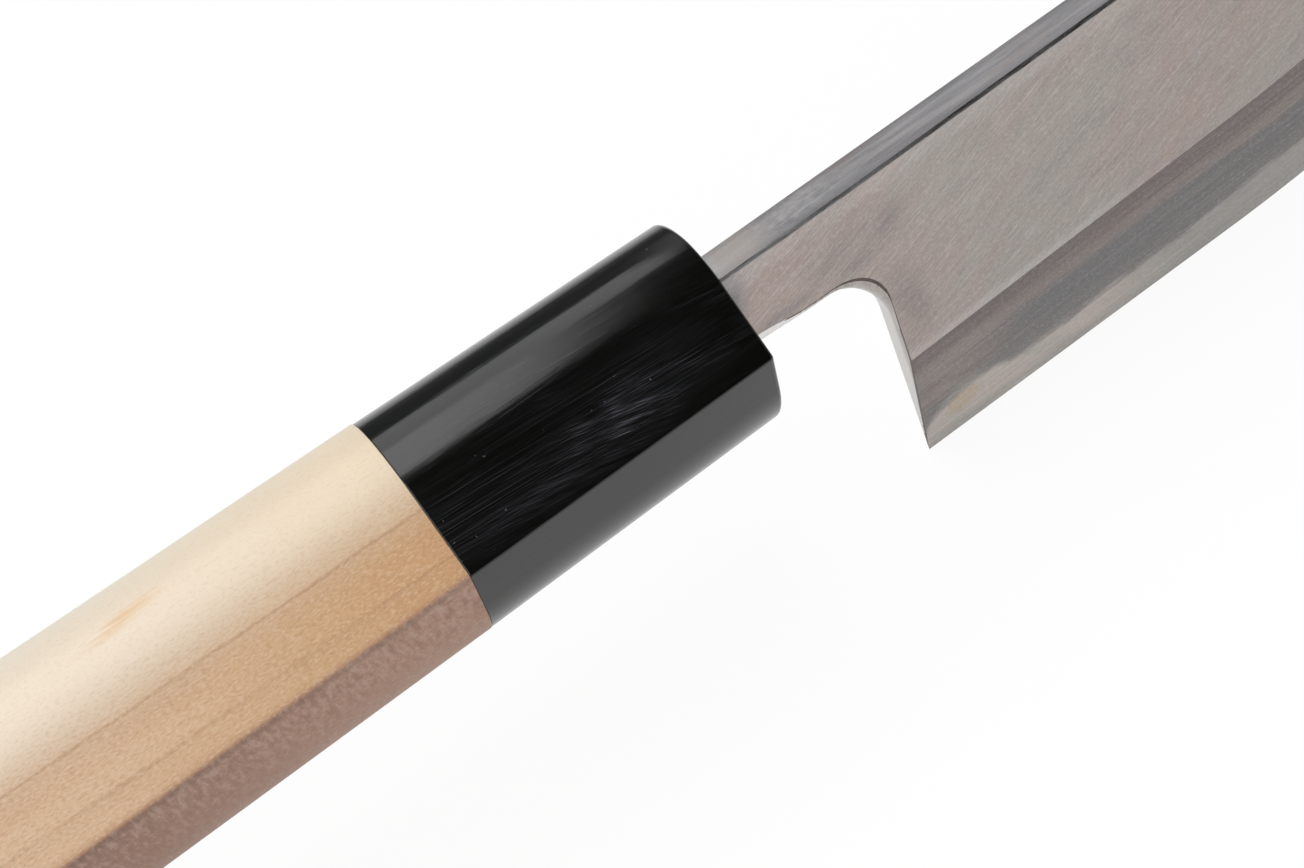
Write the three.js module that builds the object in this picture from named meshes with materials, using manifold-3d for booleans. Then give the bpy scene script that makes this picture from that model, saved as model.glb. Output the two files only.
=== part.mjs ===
// Deba knife: a single-bevel blade of soft iron and hard steel, a horn ferrule and a wooden handle.
// Millimetres. X runs from the handle's butt to the point, Z from the cutting edge up to the spine,
// and -Y is the bevelled side. The pieces are drawn from an origin on the flat back of the blade,
// on the line of the spine, straight above the heel corner.
import * as THREE from 'three';
import { mergeVertices } from 'three/addons/utils/BufferGeometryUtils.js';
import Module from 'manifold-3d';

const wasm = await Module();
wasm.setup();

// Blade
const bladeLength = 140; // heel corner to point
const bladeHeight = 44; // spine to edge at the heel
const spineThickness = 5.2; // at the heel and along the neck
const distalTaper = 0.013; // thickness lost per millimetre towards the point
const faceTaper = 0.87; // thickness at the bevel line, as a share of the spine's
const bevelHeight = 18; // edge to bevel line at the heel
const bevelRise = 0.02; // growth of that height per millimetre towards the point
const straightShare = 0.33; // straight part of the edge, as a share of the blade's length
const bellyStart = 0.7; // how far the curved part of the edge keeps low, as a share of the length
const bellyEnd = 0.95; // how far it swings out before the point, as a share of the length
const bellyHeight = 0.55; // how low it is there, as a share of the blade's height
const spineFall = 0.5; // where the spine begins to fall, as a share of the length
const pointDrop = 2.5; // fall of the spine at the point
const pointThickness = 0.4;
const pointHeight = 1; // height of the small blunt end face at the point
const pointSlope = 0.25; // spine thickness gained per millimetre of height near the point
const bevelShare = 0.95; // bevel height near the point, as a share of the blade's height there
const hardLayer = 1.4; // hard steel behind the weld plane
const hollowDepth = 0.45; // hollow ground into the back
const hollowStart = 0.03; // where the hollow begins ahead of the heel, as a share of the length
const hollowFull = 0.13; // where it has its full depth
const hollowNarrow = 0.1; // height at which the hollow has died out towards the point, as a share
const hollowWide = 0.6; // height below which it begins to die out
const flatRim = 3; // flat rim of the back, above and below the hollow
const rimShare = 0.2; // the most of the blade's height that each rim takes near the point
const spineChamfer = 0.35;
const chamferShare = 0.15; // the most of the spine's thickness that each chamfer takes near the point

// Neck, notch and tang
const neckLength = 17.9; // ferrule to heel corner
const neckHeight = 10.8;
const heelRake = 1.3; // degrees by which the heel corner lies behind the notch
const heelSlant = 0.6; // bevel-side edge of the heel wall, behind its back-side edge
const notchRadiusFace = 2.8; // fillet between neck and heel on the bevel side
const notchRadiusBack = 11; // the same fillet on the flat back
const steelSetback = 1; // hard steel reaching behind the line of the heel
const neckInSlot = 0.7; // part of the ferrule's front wall that the full neck fills, as a share
const tangShare = 0.8; // tang length, as a share of the handle's
const tangFront = 0.8; // tang section at the neck, as a share of the neck's
const tangEndHeight = 0.4; // tang height at its end, as a share of the neck's
const tangEndThickness = 0.55; // tang thickness at its end, as a share of the spine's
const tangOverlap = 2; // length over which tang and neck are one

// Handle and ferrule; the section is that of the ferrule's front and grows towards the butt
const handleLength = 130; // ferrule included
const ferruleLength = 37.5;
const axisDrop = 6.55; // handle axis below the spine at the ferrule's front
const axisLift = 0.01; // rise of that axis per millimetre towards the butt
const halfTop = 12.4; // axis to top
const halfBottom = 12.5; // axis to bottom
const halfBack = 10.7; // axis to the round side
const halfRidge = 12; // axis to the ridge
const ridgeRise = 2.4; // ridge above the axis
const upperFlat = 0.7; // flat part of the upper facet, as a share of the height from ridge to top
const lowerFlat = 0.4; // flat part of the lower facet, as a share of the height from ridge to bottom
const upperLean = 0.85; // lean of the upper facet, per millimetre of height
const lowerLean = 0.33; // lean of the lower facet, per millimetre of height
const roundness = 0.62; // fullness of the curves that lead from the facets to top and bottom
const hornRidge = 0.03; // softening of the ridge on the horn, as a share of each facet
const woodRidge = 0.1; // the same on the wood
const ferruleSwell = 0.065; // growth of the section along the ferrule
const woodSwell = 0.085; // growth of the section along the wood
const swellEase = 1.2; // 1 for an even growth along the wood, more for one that slows towards the butt
const woodProud = 0.15; // wood standing above the ferrule at their joint
const rimRadius = 0.6; // rounding of the ferrule's front
const buttRadius = 2; // rounding of the butt
const frontWall = 11; // solid horn in front of the socket
const tenonShare = 0.72; // tenon radius, as a share of the section's smallest half
const fitGap = 0.3; // clearance around the tang, the neck and the tenon
const overshoot = 1; // length by which a cutting shape passes the face it cuts

// Values that follow from the sizes above
const ferruleFront = -neckLength;
const jointX = ferruleFront - ferruleLength;
const buttX = ferruleFront - handleLength;
const neckEnd = ferruleFront - neckInSlot * frontWall;
const tangStart = neckEnd + tangOverlap;
const tangEnd = ferruleFront - tangShare * handleLength;
const socketEnd = ferruleFront - frontWall;
const handleY = -spineThickness / 2;
const tenonRadius = tenonShare * Math.min(halfTop, halfBottom, halfBack, halfRidge);
const rakeSlope = Math.tan(THREE.MathUtils.degToRad(heelRake));

const heelX = (z) => (z + bladeHeight) * rakeSlope;
const axisZ = (x) => -axisDrop + axisLift * (ferruleFront - x);
const crossPoint = (x) => (p) => new THREE.Vector3(x, p.x, p.y);
const sidePoint = (y) => (p) => new THREE.Vector3(p.x, y, p.y);

// The smaller of two sizes, with a soft change from one to the other.
function softMin(a, b) {
  const sharpness = 5;
  return (a ** -sharpness + b ** -sharpness) ** (-1 / sharpness);
}

// Closed solid through rings of equal point counts, each end closed by a fan round the ring's middle.
function loft(rings) {
  const count = rings[0].length;
  const points = rings.flat();
  const first = points.push(middleOf(rings[0])) - 1;
  const last = points.push(middleOf(rings.at(-1))) - 1;
  const lastRing = (rings.length - 1) * count;
  const faces = [];
  for (let i = 0; i < count; i += 1) {
    const next = (i + 1) % count;
    for (let start = 0; start < lastRing; start += count) {
      const [a, b] = [start + i, start + next];
      faces.push(a, b, b + count, a, b + count, a + count);
    }
    faces.push(first, next, i, last, lastRing + i, lastRing + next);
  }
  if (signedVolume(points, faces) < 0) {
    faces.reverse();
  }
  const geometry = new THREE.BufferGeometry().setFromPoints(points);
  geometry.setIndex(faces);
  return geometry;
}

function middleOf(ring) {
  return ring.reduce((sum, p) => sum.add(p), new THREE.Vector3()).divideScalar(ring.length);
}

function signedVolume(points, faces) {
  let volume = 0;
  for (let i = 0; i < faces.length; i += 3) {
    const [a, b, c] = [points[faces[i]], points[faces[i + 1]], points[faces[i + 2]]];
    volume += a.dot(b.clone().cross(c)) / 6;
  }
  return volume;
}

function solid(geometry) {
  const bare = geometry.clone();
  bare.deleteAttribute('normal');
  bare.deleteAttribute('uv');
  const merged = mergeVertices(bare, 1e-5);
  return new wasm.Manifold(new wasm.Mesh({
    numProp: 3,
    vertProperties: new Float32Array(merged.attributes.position.array),
    triVerts: new Uint32Array(merged.index.array),
  }));
}

// Blade outline and sections
const straightEnd = straightShare * bladeLength;
const belly = new THREE.CubicBezierCurve(
  new THREE.Vector2(straightEnd, -bladeHeight),
  new THREE.Vector2(bellyStart * bladeLength, -bladeHeight),
  new THREE.Vector2(bellyEnd * bladeLength, -bellyHeight * bladeHeight),
  new THREE.Vector2(bladeLength, -pointDrop - pointHeight),
);

function spineZ(x) {
  const share = Math.max(0, x / bladeLength - spineFall) / (1 - spineFall);
  return -pointDrop * share ** 2;
}

// Section of the whole blade, both layers together, from the back of the spine down and round.
function bladeRing(x, edgeZ) {
  const top = spineZ(x);
  const height = top - edgeZ;
  const plain = spineThickness - distalTaper * Math.max(0, x);
  const spine = softMin(plain, pointThickness + pointSlope * height);
  const bevel = softMin(bevelHeight + bevelRise * Math.max(0, x), bevelShare * height);
  const chamfer = Math.min(spineChamfer, chamferShare * spine);
  const rim = Math.min(flatRim, rimShare * height);
  const fadeIn = THREE.MathUtils.smoothstep(x / bladeLength, hollowStart, hollowFull);
  const fadeOut = THREE.MathUtils.smoothstep(height / bladeHeight, hollowNarrow, hollowWide);
  const depth = hollowDepth * fadeIn * fadeOut;
  const ring = [new THREE.Vector2(0, top - chamfer)];
  const steps = 8;
  for (let i = 0; i <= steps; i += 1) {
    const across = (2 * i) / steps - 1;
    const z = THREE.MathUtils.lerp(top - rim, edgeZ + rim, i / steps);
    ring.push(new THREE.Vector2(-depth * (1 - across ** 2), z));
  }
  ring.push(new THREE.Vector2(0, edgeZ));
  ring.push(new THREE.Vector2(-faceTaper * spine, edgeZ + bevel));
  ring.push(new THREE.Vector2(-spine, top - chamfer));
  ring.push(new THREE.Vector2(-spine + chamfer, top));
  ring.push(new THREE.Vector2(-chamfer, top));
  return ring.map(crossPoint(x));
}

function wholeBlade() {
  const rings = [bladeRing(neckEnd, -bladeHeight), bladeRing(0, -bladeHeight)];
  const straightSteps = 14;
  for (let i = 1; i < straightSteps; i += 1) {
    rings.push(bladeRing((straightEnd * i) / straightSteps, -bladeHeight));
  }
  for (const p of belly.getPoints(30)) {
    rings.push(bladeRing(p.x, p.y));
  }
  return solid(loft(rings));
}

// Everything behind the heel and below the neck; share is 0 on the flat back and 1 on the bevel side.
function notchRing(share) {
  const radius = Math.max(fitGap, THREE.MathUtils.lerp(notchRadiusBack, notchRadiusFace, share));
  const wall = (z) => heelX(z) - heelSlant * share;
  const centre = new THREE.Vector2(wall(-neckHeight - radius) - radius, -neckHeight - radius);
  const below = -2 * bladeHeight;
  const fillet = new THREE.EllipseCurve(centre.x, centre.y, radius, radius, Math.PI / 2, 0, true);
  return [
    new THREE.Vector2(buttX, -neckHeight),
    ...fillet.getPoints(16),
    new THREE.Vector2(wall(below), below),
    new THREE.Vector2(buttX, below),
  ].map(sidePoint(-share * spineThickness));
}

function notch() {
  const beyond = overshoot / spineThickness;
  return solid(loft([notchRing(-beyond), notchRing(1 + beyond)]));
}

// Space of the hard steel: behind the weld plane, from just behind the heel to past the point.
function steelSpace() {
  const above = bladeHeight;
  const below = -2 * bladeHeight;
  const outline = [
    new THREE.Vector2(heelX(above) - steelSetback, above),
    new THREE.Vector2(2 * bladeLength, above),
    new THREE.Vector2(2 * bladeLength, below),
    new THREE.Vector2(heelX(below) - steelSetback, below),
  ];
  const rings = [-hardLayer, spineThickness].map((y) => outline.map(sidePoint(y)));
  return solid(loft(rings));
}

// Tang section at x, or the hole around it when grow is the clearance.
function tangRing(x, grow) {
  const share = (tangStart - x) / (tangStart - tangEnd);
  const { lerp } = THREE.MathUtils;
  const height = neckHeight * lerp(tangFront, tangEndHeight, share) / 2 + grow;
  const thickness = spineThickness * lerp(tangFront, tangEndThickness, share) / 2 + grow;
  const z = lerp(-neckHeight / 2, axisZ(tangEnd), share);
  return [
    new THREE.Vector2(handleY - thickness, z - height),
    new THREE.Vector2(handleY + thickness, z - height),
    new THREE.Vector2(handleY + thickness, z + height),
    new THREE.Vector2(handleY - thickness, z + height),
  ].map(crossPoint(x));
}

function tang(from, to, grow) {
  return solid(loft([tangRing(from, grow), tangRing(to, grow)]));
}

// Points along part of a curve, without the last one.
function along(curve, from, to, steps) {
  return Array.from({ length: steps }, (_, i) => curve.getPoint(THREE.MathUtils.lerp(from, to, i / steps)));
}

// Flat from the ridge up or down, and the curve that leads it on to the section's top or bottom.
function facet(ridge, end, flat, lean) {
  const reach = end - ridge.y;
  const apex = new THREE.Vector2(0, end);
  const corner = new THREE.Vector2(ridge.x + lean * Math.abs(reach), end);
  const edge = new THREE.Vector2().lerpVectors(ridge, corner, flat);
  const apexHandle = new THREE.Vector2().lerpVectors(apex, corner, roundness);
  const edgeHandle = new THREE.Vector2().lerpVectors(edge, corner, roundness);
  return {
    curve: new THREE.CubicBezierCurve(apex, apexHandle, edgeHandle, edge),
    line: new THREE.LineCurve(edge, ridge),
  };
}

// Handle section: a round back, and two facets that meet in a ridge on the bevel side.
function gripRing(x, swell, inset, soft) {
  const ridge = new THREE.Vector2(-halfRidge, ridgeRise);
  const upper = facet(ridge, halfTop, upperFlat, upperLean);
  const lower = facet(ridge, -halfBottom, lowerFlat, lowerLean);
  const bendStart = upper.line.getPoint(1 - soft);
  const bendEnd = lower.line.getPoint(1 - soft);
  const bend = new THREE.QuadraticBezierCurve(bendStart, ridge, bendEnd);
  const backBottom = new THREE.EllipseCurve(0, 0, halfBack, halfBottom, -Math.PI / 2, 0);
  const backTop = new THREE.EllipseCurve(0, 0, halfBack, halfTop, 0, Math.PI / 2);
  const outline = [
    ...along(upper.curve, 0, 1, 10),
    ...along(upper.line, 0, 1 - soft, 2),
    ...along(bend, 0, 1, 4),
    ...along(lower.line, 1 - soft, 0, 2),
    ...along(lower.curve, 1, 0, 10),
    ...along(backBottom, 0, 1, 10),
    ...along(backTop, 0, 1, 10),
  ];
  const scale = swell * (1 - inset / halfRidge);
  const centre = new THREE.Vector2(handleY, axisZ(x));
  return outline.map((p) => p.multiplyScalar(scale).add(centre)).map(crossPoint(x));
}

// Rings of a rounded end, from the full section to the inset end face; way is the side it looks to.
function roundedEnd(x, swell, radius, way, soft) {
  const steps = 5;
  return Array.from({ length: steps + 1 }, (_, i) => {
    const turn = ((i / steps) * Math.PI) / 2;
    const ringX = x - way * radius * (1 - Math.sin(turn));
    return gripRing(ringX, swell, radius * (1 - Math.cos(turn)), soft);
  });
}

function barAlongX(from, to, radius) {
  const bar = new THREE.CylinderGeometry(radius, radius, from - to, 48);
  bar.rotateZ(Math.PI / 2);
  bar.translate((from + to) / 2, handleY, axisZ(jointX));
  return solid(bar);
}

// Slot that the neck sits in; its wall on the back side bears on the flat back of the neck.
function neckSlot() {
  const outline = [
    new THREE.Vector2(-spineThickness - fitGap, -neckHeight - fitGap),
    new THREE.Vector2(0, -neckHeight - fitGap),
    new THREE.Vector2(0, fitGap),
    new THREE.Vector2(-spineThickness - fitGap, fitGap),
  ];
  const rings = [ferruleFront + overshoot, socketEnd - overshoot].map((x) => outline.map(crossPoint(x)));
  return solid(loft(rings));
}

function ferruleBody() {
  const rings = [
    gripRing(jointX, 1 + ferruleSwell, 0, hornRidge),
    ...roundedEnd(ferruleFront, 1, rimRadius, 1, hornRidge),
  ];
  const socket = barAlongX(socketEnd, jointX - overshoot, tenonRadius + fitGap);
  return solid(loft(rings)).subtract(socket).subtract(neckSlot());
}

function handleBody() {
  const startSwell = 1 + ferruleSwell + woodProud / halfTop;
  const rings = [];
  const steps = 10;
  for (let i = 0; i < steps; i += 1) {
    const share = i / steps;
    const x = THREE.MathUtils.lerp(jointX, buttX + buttRadius, share);
    rings.push(gripRing(x, startSwell + woodSwell * (1 - (1 - share) ** swellEase), 0, woodRidge));
  }
  rings.push(...roundedEnd(buttX, startSwell + woodSwell, buttRadius, -1, woodRidge));
  const tenon = barAlongX(socketEnd - fitGap, jointX - overshoot, tenonRadius);
  const hole = tang(socketEnd + overshoot, tangEnd - fitGap, fitGap);
  return solid(loft(rings)).add(tenon).subtract(hole);
}

const blank = wholeBlade().subtract(notch());
const steel = blank.intersect(steelSpace());
const iron = blank.subtract(steelSpace()).add(tang(tangStart, tangEnd, 0));

function piece(name, body, colour, roughness, metalness) {
  const { vertProperties, triVerts } = body.getMesh();
  const geometry = new THREE.BufferGeometry();
  geometry.setAttribute('position', new THREE.BufferAttribute(new Float32Array(vertProperties), 3));
  geometry.setIndex(new THREE.BufferAttribute(new Uint32Array(triVerts), 1));
  geometry.computeVertexNormals();
  const material = new THREE.MeshStandardMaterial({ color: colour, roughness, metalness });
  const mesh = new THREE.Mesh(geometry, material);
  mesh.name = name;
  return mesh;
}

const knife = new THREE.Group();
knife.name = 'deba_knife';
knife.add(piece('blade_body', iron, 0xa09a95, 0.42, 1));
knife.add(piece('edge_steel', steel, 0xb9b6b2, 0.3, 1));
knife.add(piece('ferrule', ferruleBody(), 0x17161a, 0.25, 0));
knife.add(piece('handle', handleBody(), 0xdcb98c, 0.65, 0));

// Origin below the middle of the whole knife, level with the cutting edge
const box = new THREE.Box3().setFromObject(knife);
const middle = box.getCenter(new THREE.Vector3());
for (const mesh of knife.children) {
  mesh.geometry.translate(-middle.x, -middle.y, -box.min.z);
}

export default knife;
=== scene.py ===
"""Deba knife: forged blade, horn ferrule and wooden handle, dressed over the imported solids.

Metres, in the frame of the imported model. The pieces are drawn from the corner where the flat back meets
the line of the spine, straight above the heel, with X towards the point, Z up and -Y on the bevelled side.
"""
import math
from collections import namedtuple

import bmesh
import bpy
from bpy.props import FloatProperty, FloatVectorProperty, PointerProperty
from mathutils import Matrix, Vector
from mathutils.geometry import interpolate_bezier


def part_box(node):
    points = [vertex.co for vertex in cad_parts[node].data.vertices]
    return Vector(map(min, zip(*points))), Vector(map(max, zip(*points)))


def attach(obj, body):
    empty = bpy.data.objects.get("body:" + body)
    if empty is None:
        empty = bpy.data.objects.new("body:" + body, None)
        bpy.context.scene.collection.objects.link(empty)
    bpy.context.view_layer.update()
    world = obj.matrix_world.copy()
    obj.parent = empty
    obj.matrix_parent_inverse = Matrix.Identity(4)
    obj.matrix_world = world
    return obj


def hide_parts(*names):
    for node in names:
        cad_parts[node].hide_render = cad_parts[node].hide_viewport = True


bl_info = {
    "name": "Deba Knife",
    "version": (1, 0, 0),
    "blender": (4, 5, 0),
    "location": "View3D > Sidebar > Deba Knife",
    "description": "Makes a deba knife of forged iron and steel, horn and wood",
    "category": "Add Mesh",
}

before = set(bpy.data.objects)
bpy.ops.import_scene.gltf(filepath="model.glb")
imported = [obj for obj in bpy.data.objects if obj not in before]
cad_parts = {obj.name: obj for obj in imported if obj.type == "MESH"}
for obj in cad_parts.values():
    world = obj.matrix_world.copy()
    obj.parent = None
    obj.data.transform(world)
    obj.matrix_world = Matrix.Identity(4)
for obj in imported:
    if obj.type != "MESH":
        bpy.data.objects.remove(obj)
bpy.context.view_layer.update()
steel_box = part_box("edge_steel")
horn_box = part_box("ferrule")
wood_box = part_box("handle")

NECK, TANG_MIDDLE = 0.0179, -0.0026
ORIGIN = Vector((horn_box[1].x + NECK, steel_box[1].y, steel_box[1].z))
MERGE = 1e-7
ARRIS, HEEL_ARRIS = 0.00012, 0.00045
MOST_CHAMFER = 0.15
BLACK, WHITE = (0, 0, 0), (1, 1, 1)
FACE, SPINE = Vector((0, -1, 0)), Vector((0, 0, 1))
UPPER_FACET = Vector((0, -0.76, 0.65)).normalized()
SHARP = math.radians(30)
PHOTO_WIDTH = 1304
IRON = namedtuple("IronLooks", "face bevel spine hidden notch arris tang line")(*range(8))
STEEL = namedtuple("SteelLooks", "bevel hidden spine rim hollow notch arris")(*range(7))


def paint(red, green, blue):
    """A colour as read off a screen, made linear for the shaders."""
    def linear(level):
        level /= 255
        return level / 12.92 if level <= 0.04045 else ((level + 0.055) / 1.055) ** 2.4
    return linear(red), linear(green), linear(blue)


def length(name, description, default):
    return FloatProperty(name=name, description=description, default=default, unit="LENGTH", precision=5)


def share(name, description, default):
    return FloatProperty(name=name, description=description, default=default, precision=4)


def colour(name, description, default):
    return FloatVectorProperty(name=name, description=description, default=default, subtype="COLOR",
                               min=0, max=1)


class BladeSizes(bpy.types.PropertyGroup):
    """Sizes of the blade, its neck and its tang."""
    reach: length("Length", "Heel corner to point", steel_box[1].x - ORIGIN.x)
    height: length("Height", "Spine to edge at the heel", steel_box[1].z - steel_box[0].z)
    spine: length("Spine", "Thickness of the spine at the heel", 0.0052)
    taper: share("Taper", "Thickness lost per length towards the point", 0.013)
    face_taper: share("Face taper", "Thickness at the bevel line, of the spine's", 0.87)
    bevel: length("Bevel", "Edge to bevel line at the heel", 0.018)
    bevel_rise: share("Bevel rise", "Growth of the bevel per length", 0.02)
    bevel_end: share("Bevel end", "Bevel near the point, of the height there", 0.95)
    straight: share("Straight edge", "Straight part of the edge, of the length", 0.33)
    belly_start: share("Belly start", "How far the curved edge keeps low, of the length", 0.7)
    belly_end: share("Belly end", "How far it swings out before the point, of the length", 0.95)
    belly_low: share("Belly low", "How low it is there, of the height", 0.55)
    spine_fall: share("Spine fall", "Where the spine begins to fall, of the length", 0.5)
    point_drop: length("Point drop", "Fall of the spine at the point", 0.0025)
    point_height: length("Point height", "Height of the blunt end at the point", 0.001)
    point_thickness: length("Point thickness", "Thickness that the point starts from", 0.0004)
    point_slope: share("Point slope", "Spine thickness gained per height near the point", 0.25)
    spine_round: length("Spine chamfer", "Width of the chamfer along the spine's front", 0.00026)
    spine_drop: length("Chamfer drop", "Depth of that chamfer", 0.0003)
    back_chamfer: length("Back chamfer", "Chamfer along the spine's back", 0.00035)
    bevel_round: length("Line rounding", "Softening of the bevel line to each side", 0.00025)
    weld_height: length("Weld height", "Weld line above the edge", 0.0047)
    weld_rise: share("Weld rise", "Growth of that height per length", 0.03)
    weld_heel: length("Weld at the heel", "Swell of the weld line just ahead of the heel", 0.0019)
    weld_ripple: length("Weld ripple", "Ripple of the weld line", 0.00028)
    weld_end: share("Weld end", "Hard steel near the point, of the spine", 0.55)
    hollow: length("Hollow", "Depth of the hollow ground into the back", 0.00045)
    rim: length("Rim", "Flat rim of the back above and below the hollow", 0.003)
    neck_height: length("Neck", "Height of the neck", 0.0108)
    rake: FloatProperty(name="Rake", description="Lean of the heel", default=math.radians(1.3),
                        subtype="ANGLE")
    slant: length("Slant", "Bevel-side edge of the heel behind its back-side edge", 0.0006)
    notch_face: length("Notch, face", "Fillet of the notch on the bevel side", 0.0043)
    notch_back: length("Notch, back", "Fillet of the notch on the flat back", 0.0102)
    setback: length("Steel setback", "Hard steel reaching behind the heel", 0.001)
    tang_reach: length("Tang", "Length of the tang behind the neck", 0.0963)


class GripSizes(bpy.types.PropertyGroup):
    """Sizes of the ferrule and the handle; the section is that of the ferrule's front."""
    ferrule: length("Ferrule", "Length of the ferrule", horn_box[1].x - horn_box[0].x)
    whole: length("Handle", "Length of ferrule and wood", horn_box[1].x - wood_box[0].x)
    drop: length("Axis drop", "Axis below the spine at the ferrule's front", 0.00655)
    lift: share("Axis lift", "Rise of the axis per length towards the butt", 0.01)
    top: length("Top", "Axis to top", 0.0124)
    bottom: length("Bottom", "Axis to bottom", 0.0125)
    back: length("Back", "Axis to the round side", 0.0107)
    ridge: length("Ridge", "Axis to the ridge", 0.012)
    ridge_rise: length("Ridge rise", "Ridge above the axis", 0.0024)
    upper_flat: share("Upper flat", "Flat part of the upper facet", 0.7)
    lower_flat: share("Lower flat", "Flat part of the lower facet", 0.4)
    upper_lean: share("Upper lean", "Lean of the upper facet per height", 0.85)
    lower_lean: share("Lower lean", "Lean of the lower facet per height", 0.33)
    fullness: share("Fullness", "Fullness of the curves to top and bottom", 0.62)
    horn_ridge: share("Horn ridge", "Softening of the ridge on the horn", 0.03)
    wood_ridge: share("Wood ridge", "Softening of the ridge on the wood", 0.05)
    wood_trim: length("Ridge trim", "Wood planed off the ridge", 0.00009)
    horn_full: share("Horn fullness", "Section of the ferrule's front, of the plain section", 1.014)
    horn_swell: share("Horn swell", "Growth of the section along the ferrule", 0.065)
    wood_swell: share("Wood swell", "Growth of the section along the wood", 0.085)
    swell_ease: share("Swell ease", "More than 1 where the growth slows towards the butt", 1.2)
    proud: length("Wood proud", "Wood standing above the ferrule at the joint", 0.00015)
    rim: length("Rim", "Rounding of the ferrule's front", 0.0006)
    joint: length("Joint", "Rounding of both pieces at their joint", 0.00012)
    butt: length("Butt", "Rounding of the butt", 0.002)
    wall: length("Front wall", "Solid horn in front of the socket", 0.011)
    tenon: length("Tenon", "Radius of the tenon", 0.0077)
    clearance: length("Clearance", "Room around the tang, the neck and the tenon", 0.0003)


class KnifeFinishes(bpy.types.PropertyGroup):
    """Colours of the finishes."""
    ground: colour("Ground face", "Flat face and neck", paint(172, 158, 152))
    ground_cool: colour("Cool face", "Cooler clouds on the flat face", paint(168, 161, 156))
    smudge: colour("Smudge", "Grey smudges on the flat face", paint(128, 127, 129))
    spine: colour("Spine", "Top of the spine", paint(184, 181, 181))
    spine_dark: colour("Dark spine", "Darker streaks on the spine", paint(160, 159, 160))
    spine_warm: colour("Warm spine", "Spine by the ferrule", paint(181, 174, 169))
    # Painted shade on the spine where it rounds over towards the dark line.
    spine_front_shade: colour("Front of the spine", "Spine by the dark line", paint(128, 127, 128))
    haze: colour("Haze", "Hazy iron in the middle of the bevel", paint(121, 120, 120))
    # Hazy iron, darkened along the bevel line by painted shade.
    line_haze_and_shade: colour("Dark haze", "Iron along the bevel line", paint(122, 112, 109))
    haze_warm: colour("Warm haze", "Iron below the bevel line", paint(131, 120, 116))
    haze_pale: colour("Pale haze", "Pale streaks in the iron", paint(146, 137, 133))
    haze_low: colour("Low haze", "Iron just above the weld line", paint(127, 125, 123))
    steel: colour("Edge steel", "Hard steel on the bevel", paint(186, 177, 171))
    steel_far: colour("Far steel", "Hard steel farther from the heel", paint(160, 158, 154))
    steel_edge: colour("Cutting edge", "Hard steel along the cutting edge", paint(168, 164, 160))
    steel_green: colour("Green cloud", "Greenish clouds in the hard steel", paint(171, 171, 161))
    steel_pink: colour("Pink cloud", "Pinkish clouds in the hard steel", paint(193, 179, 174))
    ochre: colour("Ochre", "Ochre spot by the heel", paint(180, 163, 134))
    hollow: colour("Hollow", "Hollow-ground back", paint(160, 157, 155))
    rim: colour("Rim", "Flat rim of the back", paint(186, 184, 182))
    # Painted highlight on the notch walls towards the rounded back.
    notch: colour("Notch", "Painted highlight on the notch walls", paint(208, 205, 201))
    # Painted highlight on the notch walls by the neck and the ferrule.
    notch_highlight_by_neck: colour("Pale notch", "Painted highlight on the notch by the neck", paint(232, 229, 226))
    notch_grey: colour("Notch grit", "Greyer grit on those walls", paint(184, 176, 171))
    notch_dark: colour("Dark grit", "Darker streaks on those walls", paint(160, 152, 147))
    # Painted shade: the dark line where the flat face turns into the spine's chamfer, and its softer part
    # over the neck.
    face_line_shade: colour("Line shade", "Dark line between face and spine", paint(62, 58, 57))
    neck_line_shade: colour("Soft line shade", "That line over the neck", paint(104, 100, 99))
    # Painted shade: the thin dark line along the notch's edge at the face.
    arris: colour("Arris", "Dark line along the notch", paint(96, 86, 84))
    scale: colour("Scale", "Forge scale on the tang", paint(60, 56, 54))
    horn: colour("Horn", "Black horn", paint(7, 8, 6))
    horn_pale: colour("Pale horn", "Paler fibres of the horn", paint(14, 15, 12))
    scratch: colour("Scratch", "Scratched horn", paint(104, 103, 112))
    wood: colour("Wood", "Handle wood", paint(200, 163, 129))
    wood_pale: colour("Pale wood", "Palest wood", paint(208, 175, 141))
    # Redder wood with painted shade on the lower facet, below the ridge.
    red_wood_and_shade: colour("Red wood", "Redder wood and painted shade below the ridge", paint(183, 142, 121))
    wood_warm: colour("Warm wood", "Wood by the ferrule", paint(198, 157, 116))
    # The same, darker towards the butt: wood colour and painted shade.
    dark_wood_and_shade: colour("Dark wood", "Redder wood and painted shade below the ridge by the butt", paint(158, 114, 94))
    # Pale colour for the painted sheen along the top of the handle, and for pale sand grains.
    sheen_and_pale_grain: colour("Top wood", "Pale wood, painted sheen along the top", paint(225, 210, 190))
    wood_tan: colour("Tan", "Tint of the wood by the ferrule", paint(255, 251, 243))
    # Painted highlight on the round back behind the top of the handle.
    painted_crown_light: colour("Crown wood", "Painted highlight behind the top", paint(238, 228, 209))
    # Painted shade: the darker line along the upper side of the handle's ridge.
    wood_ridge: colour("Ridge", "Painted shade along the ridge", paint(184, 143, 110))
    wood_line: colour("Growth line", "Dark growth lines and fibres", paint(172, 132, 98))
    wood_pore: colour("Pores", "Pores of the wood", paint(150, 113, 95))
    wood_fleck: colour("Flecks", "Pale flecks below the ridge", paint(196, 164, 148))
    wood_streak: colour("Streak", "Yellow streak in the wood", paint(212, 164, 98))
    floor: colour("Floor", "Floor paper", (0.6, 0.6, 0.6))


def mix(start, end, part):
    return start + (end - start) * part


def spread(start, end, steps):
    return [mix(start, end, i / steps) for i in range(steps + 1)]


def smoothstep(value, low, high):
    part = min(max((value - low) / (high - low), 0), 1)
    return part * part * (3 - 2 * part)


def soft_min(a, b):
    """The smaller of two sizes, eased where they are nearly alike."""
    sharpness = 5
    return (a ** -sharpness + b ** -sharpness) ** (-1 / sharpness)


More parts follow.
